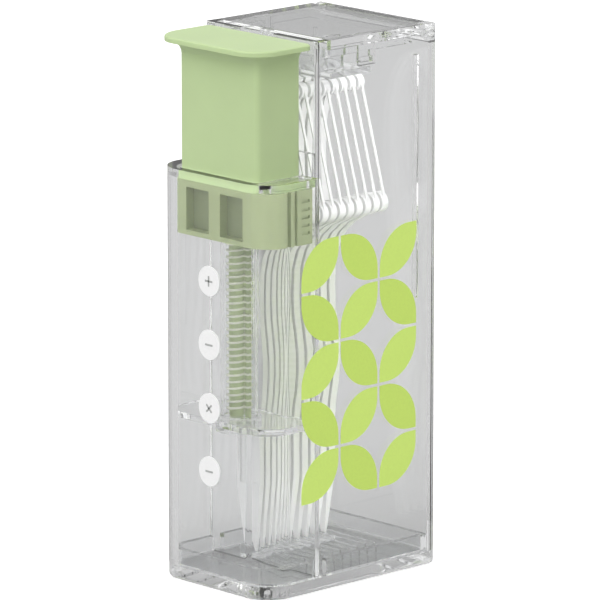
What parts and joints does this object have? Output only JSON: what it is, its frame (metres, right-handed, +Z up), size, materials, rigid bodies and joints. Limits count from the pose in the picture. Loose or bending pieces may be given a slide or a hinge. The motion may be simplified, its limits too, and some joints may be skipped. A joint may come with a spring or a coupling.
{
  "type": "dental floss dispenser",
  "caption": "Clear two-chamber pocket dispenser with a sprung push button that lifts ready-strung floss picks, head up, through a slot in front of the hinged lid.",
  "frame": {"origin": "middle of the underside of the whole part's bounding box", "axes": "+Z up, -X towards the push button, +X towards the back of the case, -Y towards the printed side"},
  "size_m": [0.0398, 0.0264, 0.09],
  "materials": {
    "clear_plastic": "clear polished",
    "button_plastic": "pale green satin",
    "foot_plastic": "grey-green satin",
    "white_plastic": "white satin",
    "white_print": "white print",
    "floss_tape": "waxed thread",
    "spring_steel": "drawn wire"
  },
  "bodies": {
    "case": {"case_shell": "clear_plastic", "base_plate": "clear_plastic", "divider_wall": "clear_plastic", "spring_shelf": "clear_plastic", "spring_tube": "clear_plastic", "tip_comb": "clear_plastic", "front_dots": "white_print", "return_spring": "spring_steel", "pick_frame_2": "white_plastic", "pick_frame_3": "white_plastic", "pick_frame_4": "white_plastic", "pick_frame_5": "white_plastic", "pick_frame_6": "white_plastic", "pick_frame_7": "white_plastic", "pick_frame_8": "white_plastic", "pick_frame_9": "white_plastic", "pick_floss_2": "floss_tape", "pick_floss_3": "floss_tape", "pick_floss_4": "floss_tape", "pick_floss_5": "floss_tape", "pick_floss_6": "floss_tape", "pick_floss_7": "floss_tape", "pick_floss_8": "floss_tape", "pick_floss_9": "floss_tape"},
    "button": {"push_button": "button_plastic", "slider_foot": "foot_plastic", "guide_rod": "foot_plastic", "ejector_tongue": "button_plastic"},
    "lid": {"top_lid": "clear_plastic", "pick_retainer": "clear_plastic"},
    "front_pick": {"pick_frame_1": "white_plastic", "pick_floss_1": "floss_tape"}
  },
  "joints": [
    {"name": "button_press", "type": "slide", "parent": "case", "child": "button", "axis": [0, 0, -1], "range_m": [0, 0.017], "stiffness_N_per_m": 100, "springref_m": -0.01, "deforming": ["return_spring"]},
    {"name": "lid_hinge", "type": "hinge", "parent": "case", "child": "lid", "pos_m": [0.0182, 0, 0.0884], "axis": [0, 1, 0], "range_deg": [0, 110]},
    {"name": "pick_lift", "type": "slide", "parent": "case", "child": "front_pick", "axis": [0, 0, 1], "range_m": [0, 0.083]}
  ]
}
